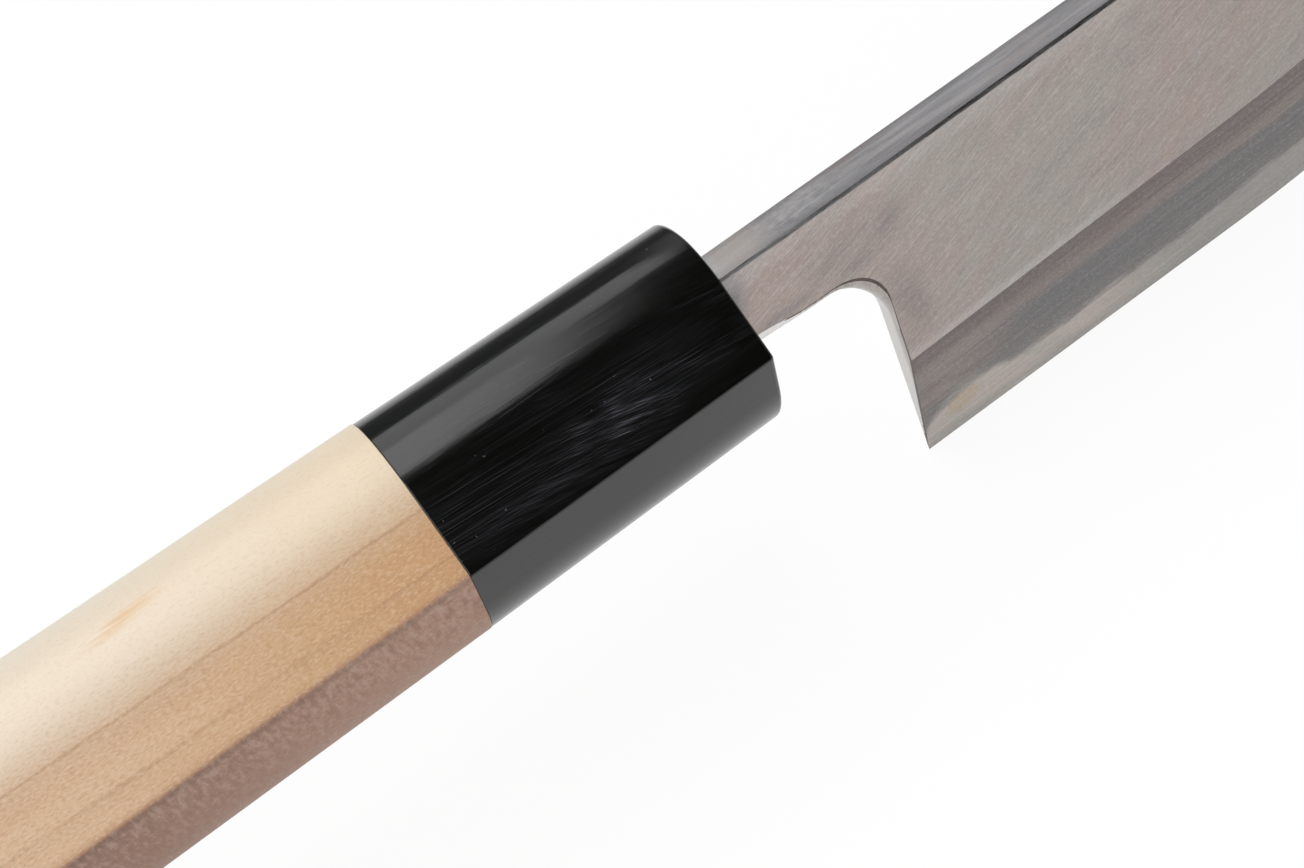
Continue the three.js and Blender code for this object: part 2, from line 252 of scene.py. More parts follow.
def wrap(bm, rings, strips=None, endless=False):
    """Bends a grid round the rings and closes it; strips gives each lengthwise strip its finish."""
    around = len(rings[0])
    along = len(rings) if endless else len(rings) - 1
    verts = bmesh.ops.create_grid(bm, x_segments=around, y_segments=along, size=0.5)["verts"]
    if strips:
        for face in bm.faces:
            face.material_index = strips[int((face.calc_center_median().x + 0.5) * around)]
    for vert in verts:
        row = round((vert.co.y + 0.5) * along) % len(rings)
        vert.co = rings[row][round((vert.co.x + 0.5) * around) % around]
    bmesh.ops.remove_doubles(bm, verts=verts, dist=MERGE)
    ends = bmesh.ops.holes_fill(bm, edges=[edge for edge in bm.edges if edge.is_boundary])["faces"]
    bmesh.ops.poke(bm, faces=ends)
    bmesh.ops.recalc_face_normals(bm, faces=bm.faces)


def make_piece(name, bm, finishes):
    """A linked object at the origin; the knife's pieces are drawn from ORIGIN until they are settled."""
    mesh = bpy.data.meshes.new(name)
    bm.to_mesh(mesh)
    bm.free()
    for finish in finishes:
        mesh.materials.append(finish)
    piece = bpy.data.objects.new(name, mesh)
    bpy.context.scene.collection.objects.link(piece)
    return piece


def settle(piece, node):
    """Puts a drawn piece in its place and hands it to the frame."""
    piece.data.transform(Matrix.Translation(ORIGIN))
    piece.data.shade_smooth()
    piece.data.set_sharp_from_angle(angle=SHARP)
    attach(piece, "root")
    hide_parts(node)


# Blade

Section = namedtuple("Section", "x top edge spine bevel line weld weld_z lean")


def spine_z(blade, x):
    fall = max(0, x / blade.reach - blade.spine_fall) / (1 - blade.spine_fall)
    return -blade.point_drop * fall ** 2


def weld_line(blade, x):
    """Height of the weld line above the edge: a swell ahead of the heel, then a slow ripple."""
    swell_at, swell_width, heel_fade = 0.0065, 0.0055, 0.0015
    long_ripple, short_ripple = 0.023, 0.0083
    x = max(0, x)
    swell = blade.weld_heel * (math.exp(-((x - swell_at) / swell_width) ** 2) - math.exp(-x / heel_fade))
    ripple = math.sin(math.tau * x / long_ripple) + math.sin(math.tau * x / short_ripple) / 2
    return blade.weld_height + blade.weld_rise * x + swell + blade.weld_ripple * ripple


def section(blade, x, edge):
    """Cross-section of the blade at a station."""
    top = spine_z(blade, x)
    forward = max(0, x)
    spine = soft_min(blade.spine - blade.taper * forward,
                     blade.point_thickness + blade.point_slope * (top - edge))
    bevel = soft_min(blade.bevel + blade.bevel_rise * forward, blade.bevel_end * (top - edge))
    line = blade.face_taper * spine
    weld = soft_min(weld_line(blade, x) * line / bevel, blade.weld_end * spine)
    straight_end = blade.straight * blade.reach
    lean = math.tan(blade.rake) * min(max(1 - x / straight_end, 0), 1)
    return Section(x, top, edge, spine, bevel, line, weld, edge + bevel * weld / line, lean)


def place(cut, ring):
    """Points and finishes of a ring that is given as depths behind the flat back, heights and finishes."""
    points = [Vector((cut.x + cut.lean * (z - cut.edge), -depth, z)) for (depth, z), _ in ring]
    return points, [finish for _, finish in ring]


def iron_ring(blade, cut, welded):
    """Ring of the soft iron and the finish of each strip; ahead of the heel it is welded to the steel."""
    most_turn, most_drop, most_bend, most_rise, most_arris = 0.25, 0.4, 0.1, 0.3, 0.03
    behind = cut.weld if welded else 0
    low = cut.weld_z if welded else cut.edge
    chamfer = 0 if welded else min(blade.back_chamfer, MOST_CHAMFER * cut.spine)
    line_z = cut.edge + cut.bevel
    turn = min(blade.spine_round, most_turn * cut.spine)
    drop = min(blade.spine_drop * turn / blade.spine_round, most_drop * (cut.top - line_z))
    arris, corner = Vector((cut.spine, cut.top - drop)), Vector((cut.line, line_z))
    soft = min(blade.bevel_round, most_bend * cut.bevel, most_rise * (arris.y - line_z))
    bevel_end = corner.lerp(Vector((0, cut.edge)), soft / cut.bevel)
    face_start = corner.lerp(arris, soft / (arris.y - line_z))
    by_arris = min(ARRIS / (arris.y - face_start.y), most_arris)
    ring = [((behind, low), IRON.bevel)]
    ring += [(step, IRON.bevel) for step in spread(Vector((cut.weld, cut.weld_z)), bevel_end, 6)]
    for part in (0.25, 0.5, 0.75):
        bend = bevel_end.lerp(corner, part).lerp(corner.lerp(face_start, part), part)
        ring.append((bend, IRON.bevel if part < 0.5 else IRON.face))
    ring += [(face_start.lerp(arris, part), IRON.face) for part in (0, 0.04, 0.35, 0.65, 0.96)]
    ring += [(arris.lerp(face_start, by_arris), IRON.line), (arris, IRON.line)]
    ring += [((depth, cut.top), IRON.spine) for depth in spread(cut.spine - turn, cut.weld, 5)]
    ring += [((behind + chamfer, cut.top), IRON.spine), ((behind, cut.top - chamfer), IRON.hidden)]
    ring += [((behind, z), IRON.hidden) for z in spread(cut.top - chamfer, cut.weld_z, 12)[1:]]
    return place(cut, ring)


def steel_ring(blade, cut):
    """Ring of the hard steel and the finish of each strip; the hollow fades out towards heel and point."""
    most_rim, hollow_steps = 0.2, 24
    height = cut.top - cut.edge
    chamfer = min(blade.back_chamfer, MOST_CHAMFER * cut.spine)
    rim = min(blade.rim, most_rim * height)
    fade = smoothstep(cut.x / blade.reach, 0.03, 0.13) * smoothstep(height / blade.height, 0.1, 0.6)
    bevel = spread(Vector((0, cut.edge)), Vector((cut.weld, cut.weld_z)), 5)
    inside = [(cut.weld, z) for z in spread(cut.weld_z, cut.top, 8)[1:]]
    ring = [(step, STEEL.bevel) for step in bevel[:-1]]
    ring += [(step, STEEL.hidden) for step in (bevel[-1], *inside[:-1])]
    ring += [(step, STEEL.spine) for step in (inside[-1], (chamfer, cut.top))]
    ring.append(((0, cut.top - chamfer), STEEL.rim))
    for i, z in enumerate(spread(cut.top - rim, cut.edge + rim, hollow_steps)):
        off_middle = 2 * i / hollow_steps - 1
        depth = blade.hollow * fade * (1 - off_middle ** 2)
        ring.append(((depth, z), STEEL.hollow if i < hollow_steps else STEEL.rim))
    return place(cut, ring)


def stations(blade):
    """Stations from just behind the heel to the point, each an x and the height of the edge there."""
    straight_steps, curve_steps = 80, 120
    straight_end = blade.straight * blade.reach
    made = [(x, -blade.height) for x in spread(-blade.setback, straight_end, straight_steps)]
    knots = [(straight_end, -blade.height), (blade.belly_start * blade.reach, -blade.height),
             (blade.belly_end * blade.reach, -blade.belly_low * blade.height),
             (blade.reach, -blade.point_drop - blade.point_height)]
    knots = [Vector((x, 0, z)) for x, z in knots]
    return made + [(p.x, p.z) for p in interpolate_bezier(*knots, curve_steps + 1)[1:]]


def mark_heights(piece, blade):
    """Stores each point's height above the cutting edge and the weld line, for the bevel's finish."""
    line = stations(blade)
    above_edge = piece.data.attributes.new("above_edge", "FLOAT", "POINT")
    above_weld = piece.data.attributes.new("above_weld", "FLOAT", "POINT")
    for vert, to_edge, to_weld in zip(piece.data.vertices, above_edge.data, above_weld.data):
        ahead = next((i for i, (x, _) in enumerate(line) if x >= vert.co.x), len(line) - 1)
        start, end = line[max(ahead - 1, 0)], line[ahead]
        part = (vert.co.x - start[0]) / (end[0] - start[0]) if ahead else 0
        edge = mix(start[1], end[1], min(max(part, 0), 1))
        to_edge.value = vert.co.z - edge
        to_weld.value = vert.co.z - section(blade, vert.co.x, edge).weld_z


def face_depth(blade, z):
    """Depth of the bevelled side behind the flat back at the heel."""
    line = blade.face_taper * blade.spine
    line_z = blade.bevel - blade.height
    if z > line_z:
        return mix(blade.spine, line, z / line_z)
    thinnest = 0.00025
    return max(thinnest, line * (z + blade.height) / blade.bevel)


def neck_wear(x):
    """0 by the notch and 1 by the ferrule."""
    start, end = -0.0085, -0.0165
    return smoothstep(x, start, end)


def notch_chamfer(x, up):
    """Height of the worn chamfer along the notch's face-side edge: most by the ferrule, least on the heel."""
    on_heel, on_notch, on_neck = 0.00005, 0.00065, 0.0016
    return mix(on_heel, mix(on_notch, on_neck, neck_wear(x)), up)


def notch_ring(blade, depth_at):
    """Outline of the notch at a depth behind the flat back, which may change with the height."""
    below, behind, in_ferrule = -1.5 * blade.height, -0.06, -0.022
    fillet_turn, wear_depth = 5, 0.45
    slope = math.tan(blade.rake)

    def part_at(z):
        return depth_at(face_depth(blade, z)) / blade.spine

    def heel_x(z):
        return (z + blade.height) * slope - blade.slant * part_at(z)
    radius = mix(blade.notch_back, blade.notch_face, part_at(-blade.neck_height) ** fillet_turn)
    centre_z = -blade.neck_height - radius
    centre_x = heel_x(centre_z) - radius
    outline = [(x, -blade.neck_height, 0, 1) for x in [behind] + spread(in_ferrule, centre_x, 8)[:-1]]
    for turn in spread(math.pi / 2, 0, 28):
        out_x, out_z = math.cos(turn), math.sin(turn)
        outline.append((centre_x + radius * out_x, centre_z + radius * out_z, out_x, out_z))
    outline += [(heel_x(z), z, 1, 0) for z in spread(centre_z, -blade.height, 16)[1:] + [below]]
    outline.append((behind, below, 0, 0))
    ring = []
    for x, z, out_x, out_z in outline:
        rise = notch_chamfer(x, out_z)
        face = face_depth(blade, z)
        depth = depth_at(face)
        wear = rise * min(max(1 - (face - depth) / (wear_depth * rise), 0), 1)
        ring.append(Vector((x + out_x * wear, -depth, z + out_z * wear)))
    return ring


def notch_cutter(blade, finishes, slot):
    """Everything behind the heel and below the neck, with a fillet that tightens towards the face."""
    outside, full, inner, least_wear = 0.0003, 0.002, 0.0009, 0.4
    levels = [lambda face: -full]
    for part in (0, 0.25, 0.5, 0.75):
        levels.append(lambda face, part=part: part * (face - inner * min(1, face / full)))
    for below in (inner, 0.00075, 0.0006, HEEL_ARRIS, 0.0003, 0.0002, ARRIS):
        levels.append(lambda face, below=below: face - below * min(1, face / full))
    levels += [lambda face: face + 0.05 * outside, lambda face: face + outside,
               lambda face: blade.spine + 4 * outside]
    bm = bmesh.new()
    wrap(bm, [notch_ring(blade, level) for level in levels])
    fillet_end = -blade.neck_height - blade.notch_face
    for face in bm.faces:
        middle = face.calc_center_median()
        on_heel = smoothstep(middle.z, fillet_end, fillet_end - 2 * blade.notch_face)
        # The strip next to the face takes the next slot, with the painted shade line along the edge.
        strip = mix(ARRIS, HEEL_ARRIS, on_heel) if neck_wear(middle.x) < least_wear else 0
        near_face = -middle.y > face_depth(blade, middle.z) - strip
        face.material_index = slot + int(near_face)
    return make_piece("notch_cutter", bm, finishes)


def cut_notch(piece, blade, finishes, slot):
    """Cuts the notch out of a layer of the blade; slot is the finish of its walls, the next its arris."""
    cutter = notch_cutter(blade, finishes, slot)
    boolean = piece.modifiers.new("notch", "BOOLEAN")
    boolean.object = cutter
    boolean.operation = "DIFFERENCE"
    boolean.solver = "EXACT"
    boolean.material_mode = "INDEX"
    shaped = piece.evaluated_get(bpy.context.evaluated_depsgraph_get())
    whole, piece.data = piece.data, bpy.data.meshes.new_from_object(shaped)
    piece.modifiers.clear()
    blank = cutter.data
    bpy.data.objects.remove(cutter)
    bpy.data.meshes.remove(blank)
    bpy.data.meshes.remove(whole)
    piece.data.name = piece.name
    bm = bmesh.new()
    bm.from_mesh(piece.data)
    bmesh.ops.remove_doubles(bm, verts=bm.verts, dist=10 * MERGE)
    bm.to_mesh(piece.data)
    bm.free()


def draw_tang(piece, blade, neck_end, slot):
    """Draws the tang out of the end of the neck."""
    square, reach, shoulder = 0.99, 0.002, 0.0005
    root_size, tip_size = (1, 0.98, 0.87), (1, 0.7, 0.5)
    bm = bmesh.new()
    bm.from_mesh(piece.data)
    end = [face for face in bm.faces
           if face.normal.x < -square and face.calc_center_median().x < neck_end + reach]
    face = bmesh.ops.dissolve_faces(bm, faces=end)["region"][0]
    bmesh.ops.inset_individual(bm, faces=[face], thickness=shoulder)
    bmesh.ops.scale(bm, vec=root_size, verts=face.verts,
                    space=Matrix.Translation(-face.calc_center_median()))
    face.material_index = slot
    made = bmesh.ops.extrude_discrete_faces(bm, faces=[face])["faces"]
    verts = made[0].verts[:]
    middle = made[0].calc_center_median()
    bmesh.ops.scale(bm, vec=tip_size, verts=verts, space=Matrix.Translation(-middle))
    bmesh.ops.translate(bm, vec=(-blade.tang_reach, 0, 0), verts=verts)
    for side in {face for vert in verts for face in vert.link_faces}:
        side.material_index = slot
    bmesh.ops.recalc_face_normals(bm, faces=bm.faces)
    bm.to_mesh(piece.data)
    bm.free()


# Handle and ferrule

def bow(*knots, steps):
    """Points along a cubic curve, without the last one."""
    knots = [Vector((p[0], p[1], 0)) for p in knots]
    return [Vector(p[:2]) for p in interpolate_bezier(*knots, steps + 1)[:-1]]


def facet(grip, ridge, end, flat, lean):
    """Where a facet turns from flat to round, and the curve from the top or bottom to that place."""
    apex = Vector((0, end))
    corner = Vector((ridge.x + lean * abs(end - ridge.y), end))
    edge = ridge.lerp(corner, flat)
    return edge, (apex, apex.lerp(corner, grip.fullness), edge.lerp(corner, grip.fullness), edge)


def grip_outline(grip, soft, trim=0):
    """Section of the handle: a round back, and two facets that meet in a ridge on the bevel side."""
    ridge = Vector((trim - grip.ridge, grip.ridge_rise))
    upper, upper_curve = facet(grip, ridge, grip.top, grip.upper_flat, grip.upper_lean)
    lower, lower_curve = facet(grip, ridge, -grip.bottom, grip.lower_flat, grip.lower_lean)
    bend = upper.lerp(ridge, 1 - soft), lower.lerp(ridge, 1 - soft)
    places = 0, 0.04, 0.5, 1 - 2.5 * soft, 1 - 1.4 * soft
    outline = bow(*upper_curve, steps=20)
    outline += [upper.lerp(ridge, part) for part in places]
    outline += bow(bend[0], bend[0].lerp(ridge, 2 / 3), bend[1].lerp(ridge, 2 / 3), bend[1], steps=8)
    outline += [bend[1]]
    outline += [lower.lerp(ridge, part) for part in reversed(places[1:])]
    outline += bow(*reversed(lower_curve), steps=20)
    for turn in spread(-math.pi / 2, math.pi / 2, 40)[:-1]:
        outline.append(Vector((grip.back * math.cos(turn),
                               (grip.top if turn > 0 else grip.bottom) * math.sin(turn))))
    return outline


def axis(grip, x):
    return Vector((TANG_MIDDLE, -grip.drop + grip.lift * (-NECK - x)))


def across(x, points):
    return [Vector((x, p.x, p.y)) for p in points]


def grip_ring(grip, outline, x, swell, inset=0):
    centre = axis(grip, x)
    scale = swell * (1 - inset / grip.ridge)
    return across(x, [centre + p * scale for p in outline])


def bore_ring(grip, outline, x, radius):
    centre = axis(grip, -NECK - grip.ferrule)
    return across(x, [centre + p.normalized() * radius for p in outline])


def slot_ring(outline, x, middle, half_width, half_height):
    """Ring of a rectangular hole, with as many points as the outline."""
    points = []
    for p in outline:
        reach = min(half_width / max(abs(p.x), MERGE), half_height / max(abs(p.y), MERGE))
        points.append(middle + p * reach)
    for corner in [Vector((w, h)) for w in (-half_width, half_width) for h in (-half_height, half_height)]:
        nearest = min(range(len(points)), key=lambda i: (points[i] - middle - corner).length)
        points[nearest] = middle + corner
    return across(x, points)


def rounded_end(grip, outline, x, swell, radius, way):
    """Rings of a rounded end, from the full section to the end face; way is the side it looks to."""
    rings = []
    for turn in spread(0, math.pi / 2, 6):
        ring_x = x - way * radius * (1 - math.sin(turn))
        rings.append(grip_ring(grip, outline, ring_x, swell, radius * (1 - math.cos(turn))))
    return rings


# Finishes

class Wire:
    """An output socket; arithmetic on it adds Math nodes to its tree."""

    def __init__(self, socket):
        self.socket = socket
        self.tree = socket.id_data

    def node(self, kind, settings=None, inputs=None, output=0):
        node = self.tree.nodes.new(kind)
        for name, value in (settings or {}).items():
            setattr(node, name, value)
        for name, value in (inputs or {}).items():
            socket = node.inputs[name]
            if isinstance(value, Wire):
                self.tree.links.new(value.socket, socket)
            else:
                socket.default_value = value
        return Wire(node.outputs[output])

    def into(self, socket):
        self.tree.links.new(self.socket, socket)

    def math(self, operation, first, second=0.0):
        return self.node("ShaderNodeMath", {"operation": operation}, {0: first, 1: second})

    def __add__(self, other):
        return self.math("ADD", self, other)

    def __radd__(self, other):
        return self.math("ADD", other, self)

    def __sub__(self, other):
        return self.math("SUBTRACT", self, other)

    def __rsub__(self, other):
        return self.math("SUBTRACT", other, self)

    def __mul__(self, other):
        return self.math("MULTIPLY", self, other)

    def __rmul__(self, other):
        return self.math("MULTIPLY", other, self)

    def __truediv__(self, other):
        return self.math("DIVIDE", self, other)

    def between(self, low, high):
        """0 at low and 1 at high, with a smooth change; low may be the higher one."""
        return self.node("ShaderNodeMapRange", {"interpolation_type": "SMOOTHSTEP"},
                         {"Value": self, "From Min": low, "From Max": high})

    def placed(self, sizes, lie, at=(0, 0, 0)):
        """Coordinates in units of sizes, lying on a side of the knife and measured from a point of it."""
        return self.node("ShaderNodeMapping", {"vector_type": "TEXTURE"},
                         {"Vector": self, "Location": ORIGIN + Vector(at), "Rotation": lie, "Scale": sizes})

    def noise(self, sizes, lie, detail=2.0, roughness=0.5):
        return self.node("ShaderNodeTexNoise", {"noise_dimensions": "3D"},
                         {"Vector": self.placed(sizes, lie), "Scale": 1.0, "Detail": detail,
                          "Roughness": roughness})

    def spot(self, at, sizes, lie):
        """1 in the middle of an ellipsoid round a point of the knife, falling to 0 at its surface."""
        away = self.node("ShaderNodeVectorMath", {"operation": "LENGTH"}, {0: self.placed(sizes, lie, at)},
                         "Value")
        return away.between(1, 0)

    def split(self, part):
        """One part of a vector."""
        return self.node("ShaderNodeSeparateXYZ", None, {"Vector": self}, part)

    def offset(self, part):
        """Distance from ORIGIN along X, Y or Z."""
        return self.split(part) - getattr(ORIGIN, part.lower())

    def attribute(self, name):
        return self.node("ShaderNodeAttribute", {"attribute_name": name}, None, "Fac")

    def colours(self, first, second, way="MIX"):
        """Mixes two colours by this value."""
        first, second = (tone if isinstance(tone, Wire) else (*tone, 1) for tone in (first, second))
        return self.node("ShaderNodeMix", {"data_type": "RGBA", "blend_type": way, "clamp_factor": True},
                         {0: self, 6: first, 7: second}, 2)

    def bump(self, strength, distance):
        return self.node("ShaderNodeBump", None, {"Height": self, "Strength": strength, "Distance": distance})


def lay(side, turn=0.0):
    """Angles of a pattern that lies on a side of the knife, its X along the knife, raised by turn degrees."""
    along = Matrix.Rotation(math.radians(turn), 3, side) @ Vector((1, 0, 0))
    return Matrix((along, side.cross(along), side)).transposed().to_euler()


def start_finish(name, constants):
    """A new material, its shader's sockets and the Object coordinates."""
    material = bpy.data.materials.new(name)
    material.use_nodes = True
    nodes = material.node_tree.nodes
    shader = nodes["Principled BSDF"]
    for socket, value in constants.items():
        shader.inputs[socket].default_value = value
    return material, shader.inputs, Wire(nodes.new("ShaderNodeTexCoord").outputs["Object"])


def layer(base, *coats):
    """Lays coats, each a mask and a colour, over a base colour, one after the other."""
    for mask, tone in coats:
        base = mask.colours(base, tone)
    return base


def ground_metal(name, lie, width, contrast, roughness, tones, reach=0.02, deep=0.004, grain=0.1):
    """Metal ground in one direction: fine lines and grain over the slow tones that tones() gives."""
    fine_share, broad_share, pale_share, sand_share = 0.65, 0.35, 0.7, 0.5
    gloss_change, bump_strength, bump_height = 0.25, 0.2, 0.00004
    material, sockets, coords = start_finish(name, {"Metallic": 1.0})
    fine = coords.noise((reach / 2, width, deep), lie, detail=1.0)
    broad = coords.noise((reach * 2, width * 6, deep), lie, detail=3.0, roughness=0.65)
    lines = fine * fine_share + broad * broad_share
    sand = coords.noise((0.00045, 0.0002, 0.0002), lie, 2.0, 0.6)
    base = layer(tones(coords),
                 (lines.between(0.62, 0.3) * contrast, BLACK),
                 (lines.between(0.5, 0.75) * contrast * pale_share, WHITE),
                 (sand.between(0.55, 0.3) * grain, BLACK),
                 (sand.between(0.5, 0.75) * grain, WHITE))
    base.into(sockets["Base Color"])
    (roughness + (lines - 0.5) * gloss_change).into(sockets["Roughness"])
    (lines + sand * sand_share).bump(bump_strength, bump_height).into(sockets["Normal"])
    return material


def plain_metal(name, tone, roughness=0.5, contrast=0.1, width=0.0002, turn=0, change=0.1):
    """Ground metal of one tone that changes slowly and slightly."""
    darker = tuple(level * (1 - change) for level in tone)

    def tones(coords):
        cloud = coords.noise((0.016, 0.006, 0.006), lay(FACE), 3.0)
        return cloud.between(0.35, 0.65).colours(tone, darker)
    return ground_metal(name, lay(FACE, turn), width, contrast, roughness, tones)


Smudge = namedtuple("Smudge", "x z long wide turn depth")


def ground_face(finishes, blade):
    """Flat face and neck: warm and cool clouds, stray scratches, grey smudges by the notch and a grey patch
    right by the ferrule.
    """
    on_face, through, smudge_depth = -0.005, 0.01, 1.6
    spine_band, line_band, line_fade = (-0.0032, -0.0014), (0.0016, 0.0004), (0.042, 0.02)
    smudges = (Smudge(0.0024, -0.0182, 0.0085, 0.0036, -78, 0.55),
               Smudge(-0.0042, -0.0066, 0.007, 0.0028, 16, 0.42),
               Smudge(0.0022, -0.0068, 0.005, 0.0032, 20, 0.5),
               Smudge(-0.002, -0.0094, 0.005, 0.0019, 0, 0.6),
               # grey patch on the neck right beside the ferrule
               Smudge(-0.0172, -0.003, 0.003, 0.009, -8, 1.3),
               Smudge(-0.012, -0.009, 0.006, 0.0012, 4, 0.7))

    def tones(coords):
        along = coords.offset("X")
        cloud = coords.noise((0.02, 0.009, 0.01), lay(FACE, 30), 3.0)
        stray = coords.noise((0.006, 0.00016, 0.004), lay(FACE, 22), 2.0, 0.6).between(0.58, 0.75)
        patch = coords.noise((0.007, 0.003, 0.01), lay(FACE, 20), 4.0, 0.6)
        base = layer(cloud.between(0.4, 0.62).colours(finishes.ground, finishes.ground_cool),
                     (stray * 0.12, WHITE),
                     (patch.between(0.5, 0.3) * 0.17, finishes.smudge))
        for smudge in smudges:
            spot = coords.spot((smudge.x, on_face, smudge.z), (smudge.long, smudge.wide, through),
                               lay(FACE, smudge.turn))
            base = (spot * patch * smudge_depth * smudge.depth).colours(base, finishes.smudge)
        by_spine = coords.offset("Z").between(*spine_band)
        above_line = coords.attribute("above_edge") - blade.bevel - along * blade.bevel_rise
        by_line = above_line.between(*line_band) * along.between(*line_fade)
        return (by_spine * 0.07 + by_line * 0.13).colours(base, WHITE)
    return ground_metal("ground_face", lay(FACE, 20), 0.00014, 0.14, 0.4, tones, reach=0.006)


def spine_line(finishes):
    """Painted shade line on the chamfer between the flat face and the spine, softer over the neck and faded
    by the ferrule.
    """
    neck_to_blade, by_ferrule = (-0.006, 0.012), (-0.0144, -0.017)

    def tones(coords):
        along = coords.offset("X")
        broken = coords.noise((0.003, 0.0003, 0.01), lay(FACE), 3.0).between(0.25, 0.6)
        # painted shade line, softer on the neck
        on_neck = broken.colours(finishes.neck_line_shade, finishes.spine_dark)
        on_blade = (broken * 0.5).colours(finishes.face_line_shade, finishes.spine_dark)
        base = along.between(*neck_to_blade).colours(on_neck, on_blade)
        return (along.between(*by_ferrule) * 0.8).colours(base, finishes.spine_warm)
    return ground_metal("spine_line", lay(FACE), 0.0002, 0.05, 0.5, tones)


def spine_metal(name, finishes):
    """Spine: lines and streaks lengthwise, blotches on the neck, warm by the ferrule, dark at its back edge,
    painted shade at its front.
    """
    to_neck, blotched = (0.02, -0.012), (0.006, -0.006)
    warm_neck, grey_neck = (-0.0076, -0.0132), (-0.0148, -0.0164)
    back_edge, shaded_front_edge = (-0.0016, -0.0002), (-0.0032, -0.005)

    def tones(coords):
        along, depth = coords.offset("X"), coords.offset("Y")
        streak = coords.noise((0.012, 0.0009, 0.01), lay(SPINE), 3.0, 0.6)
        blotch = coords.noise((0.0016, 0.0009, 0.01), lay(SPINE, 12), 3.0, 0.6)
        warm = coords.noise((0.02, 0.0015, 0.01), lay(SPINE, 2), 2.0).between(0.52, 0.7)
        by_horn = (along + (blotch - 0.5) * 0.006).between(*warm_neck)
        at_horn = (along + (streak - 0.5) * 0.004).between(*grey_neck)
        return layer(streak.between(0.35, 0.65).colours(finishes.spine, finishes.spine_dark),
                     (along.between(*to_neck) * 0.27, BLACK),
                     (blotch.between(0.3, 0.76) * along.between(*blotched) * 0.22, WHITE),
                     (by_horn, at_horn.colours(finishes.spine_warm, finishes.spine)),
                     (warm * 0.5, finishes.ground),
                     (depth.between(*back_edge) * 0.27, BLACK),
                     # painted shade towards the front edge of the spine
                     (depth.between(*shaded_front_edge) * (0.7 - by_horn * 0.3), finishes.spine_front_shade))
    return ground_metal(name, lay(SPINE), 0.00014, 0.09, 0.32, tones, grain=0.05)


def honed_bevel(name, finishes):
    """Bevel: hazy iron in lengthwise bands, with painted shade along the bevel line, above a blurred weld
    line, and pale streaked steel below it.

    The bands are in millimetres above the edge, and lengths along the knife in metres.
    """
    lie, millimetres = lay(FACE, 1), 1000
    pale_low, pale_high, by_line = (12.5, 13.8), (16, 14.8), (14.6, 16)
    middle, low, edge = (14.5, 12), (9, 6.8), (2.4, 0.7)
    heel_to_haze, heel_to_far, weld_fall = (0.004, 0.018), (0.022, 0.042), (0.016, 0.028)

    def tones(coords):
        along = coords.offset("X")
        height = coords.attribute("above_edge") * millimetres
        wander = coords.noise((0.02, 0.003, 0.01), lie, 3.0, 0.6)
        band = height + (wander - 0.5) * 4
        ahead = (along + (wander - 0.5) * 0.02).between(*heel_to_haze)
        streaks = coords.noise((0.03, 0.0006, 0.01), lie, 3.0, 0.6).between(0.5, 0.75)
        patch = coords.noise((0.012, 0.003, 0.01), lay(FACE, -12), 3.0)
        by_heel = coords.spot((0.003, -0.0035, -0.034), (0.014, 0.0065, 0.01), lay(FACE, 12))
        pale = coords.spot((0.005, -0.0035, -0.0303), (0.011, 0.0024, 0.01), lay(FACE, 2))
        iron = layer(finishes.haze_warm,
                     (band.between(*pale_low) * band.between(*pale_high) * 0.5, finishes.haze_pale),
                     # hazy iron with painted shade along the bevel line
                     ((height + (wander - 0.5) * 1.5).between(*by_line), finishes.line_haze_and_shade),
                     (band.between(*middle) * ahead, finishes.haze),
                     (band.between(*low), finishes.haze_low),
                     (streaks * 0.6, finishes.haze_pale),
                     (by_heel * patch.between(0.3, 0.6) * 0.9, finishes.haze_pale),
                     (pale * (patch + 0.3), finishes.haze_pale))
        cloud = coords.noise((0.01, 0.0014, 0.01), lay(FACE, 2), 4.0, 0.6)
        pink = coords.noise((0.012, 0.0012, 0.01), lay(FACE, -2), 4.0, 0.6).between(0.46, 0.66)
        ochre = coords.spot((0.0056, -0.0012, -0.0393), (0.0036, 0.0022, 0.01), lay(FACE, 10))
        steel = layer(finishes.steel,
                      ((band + (cloud - 0.5) * 2).between(*edge), finishes.steel_edge),
                      (cloud.between(0.48, 0.66) * 0.8, finishes.steel_green),
                      (pink * 0.8, finishes.steel_pink),
                      (ochre.between(0.05, 0.4) * 0.55, finishes.ochre),
                      (streaks * 0.12, WHITE),
                      (along.between(*heel_to_far) * 0.8, finishes.steel_far))
        ragged = coords.noise((0.006, 0.0012, 0.01), lay(FACE, 3), 4.0, 0.65)
        above = coords.attribute("above_weld") * millimetres + (ragged - 0.5) * 2.6
        above = above + along.between(*weld_fall) * 0.55
        blur = by_heel.between(0, 0.5) * 0.9
        return ((above + blur * 0.4) / (blur + 0.75)).between(-1.2, 1.2).colours(steel, iron)
    return ground_metal(name, lie, 0.00013, 0.13, 0.38, tones, reach=0.03)


def notch_wall(name, finishes):
    """Filed walls of the notch, with painted highlight towards the back and by the ferrule."""
    lie, lit_to_back, lit_to_ferrule = lay(FACE, 80), (-0.0034, -0.0022), (-0.006, -0.011)

    def tones(coords):
        grit = coords.noise((0.003, 0.0006, 0.0006), lie, 3.0, 0.6)
        depth = coords.offset("Y") + (grit - 0.5) * 0.002
        along = coords.offset("X") + (grit - 0.5) * 0.01
        return layer(grit.between(0.35, 0.7).colours(finishes.notch_grey, finishes.notch_dark),
                     # painted highlight towards the back and by the ferrule
                     (depth.between(*lit_to_back), finishes.notch),
                     (along.between(*lit_to_ferrule), finishes.notch_highlight_by_neck))
    return ground_metal(name, lie, 0.00025, 0.06, 0.34, tones, reach=0.006, deep=0.0003, grain=0.04)


